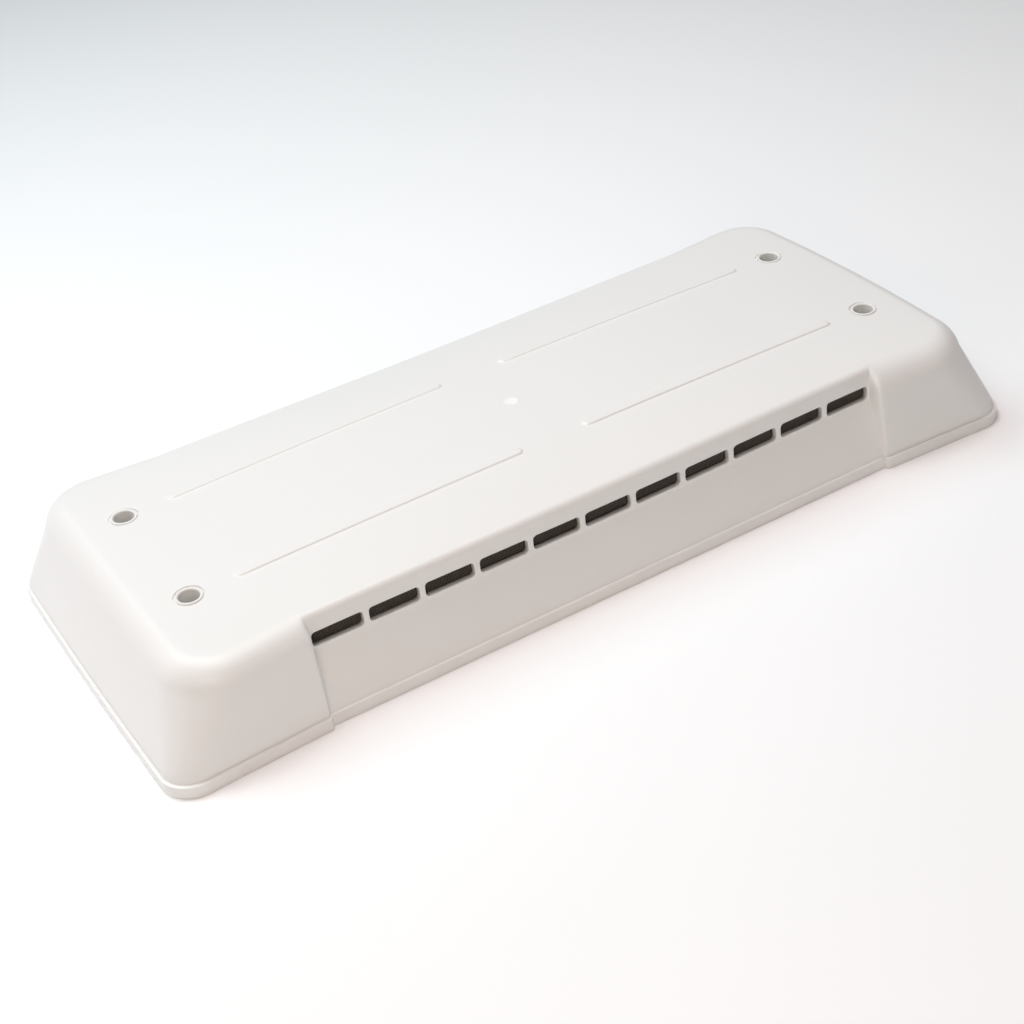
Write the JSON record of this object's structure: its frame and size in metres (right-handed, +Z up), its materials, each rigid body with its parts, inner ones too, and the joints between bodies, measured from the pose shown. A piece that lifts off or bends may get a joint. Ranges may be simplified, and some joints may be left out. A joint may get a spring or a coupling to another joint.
{
  "type": "roof vent cover",
  "caption": "Long low moulded roof vent cover with slotted side recesses and deep screw wells, over a flanged roof base with a screened throat.",
  "frame": {"origin": "centre of the underside, on the roof surface that the cap's rim and the base gasket rest on", "axes": "+X along the length to the right, +Y to the rear, +Z up out of the roof"},
  "size_m": [0.7, 0.3, 0.088],
  "materials": {
    "cap_plastic": "satin moulded, off-white",
    "well_plastic": "satin moulded, off-white",
    "base_plastic": "moulded, off-white",
    "gasket_rubber": "closed-cell foam rubber",
    "washer_rubber": "matt",
    "zinc_wire": "galvanised welded wire",
    "stainless": "stainless",
    "insert_brass": "turned and knurled",
    "dark_mesh": "black coated insect mesh",
    "retainer_plastic": "moulded, charcoal"
  },
  "bodies": {
    "base": {"base_frame": "base_plastic", "roof_gasket": "gasket_rubber", "throat_screen": "zinc_wire", "screen_clamp_frame": "base_plastic", "clamp_screws": "stainless", "thread_insert_front_left": "insert_brass", "thread_insert_front_right": "insert_brass", "thread_insert_rear_left": "insert_brass", "thread_insert_rear_right": "insert_brass"},
    "cap": {"cap_shell": "cap_plastic", "screw_well_front_left": "well_plastic", "screw_well_front_right": "well_plastic", "screw_well_rear_left": "well_plastic", "screw_well_rear_right": "well_plastic", "slot_screen_front": "dark_mesh", "slot_screen_rear": "dark_mesh", "screen_retainer_front": "retainer_plastic", "screen_retainer_rear": "retainer_plastic", "retainer_screws_front": "stainless", "retainer_screws_rear": "stainless"},
    "screw_front_left": {"cap_screw_front_left": "stainless", "sealing_washer_front_left": "washer_rubber"},
    "screw_front_right": {"cap_screw_front_right": "stainless", "sealing_washer_front_right": "washer_rubber"},
    "screw_rear_left": {"cap_screw_rear_left": "stainless", "sealing_washer_rear_left": "washer_rubber"},
    "screw_rear_right": {"cap_screw_rear_right": "stainless", "sealing_washer_rear_right": "washer_rubber"}
  },
  "joints": [
    {"name": "cap_lift", "type": "slide", "parent": "base", "child": "cap", "axis": [0, 0, 1], "range_m": [0, 0.12]},
    {"name": "screw_front_left_withdraw", "type": "slide", "parent": "cap", "child": "screw_front_left", "axis": [0, 0, 1], "range_m": [0, 0.09]},
    {"name": "screw_front_right_withdraw", "type": "slide", "parent": "cap", "child": "screw_front_right", "axis": [0, 0, 1], "range_m": [0, 0.09]},
    {"name": "screw_rear_left_withdraw", "type": "slide", "parent": "cap", "child": "screw_rear_left", "axis": [0, 0, 1], "range_m": [0, 0.09]},
    {"name": "screw_rear_right_withdraw", "type": "slide", "parent": "cap", "child": "screw_rear_right", "axis": [0, 0, 1], "range_m": [0, 0.09]}
  ]
}
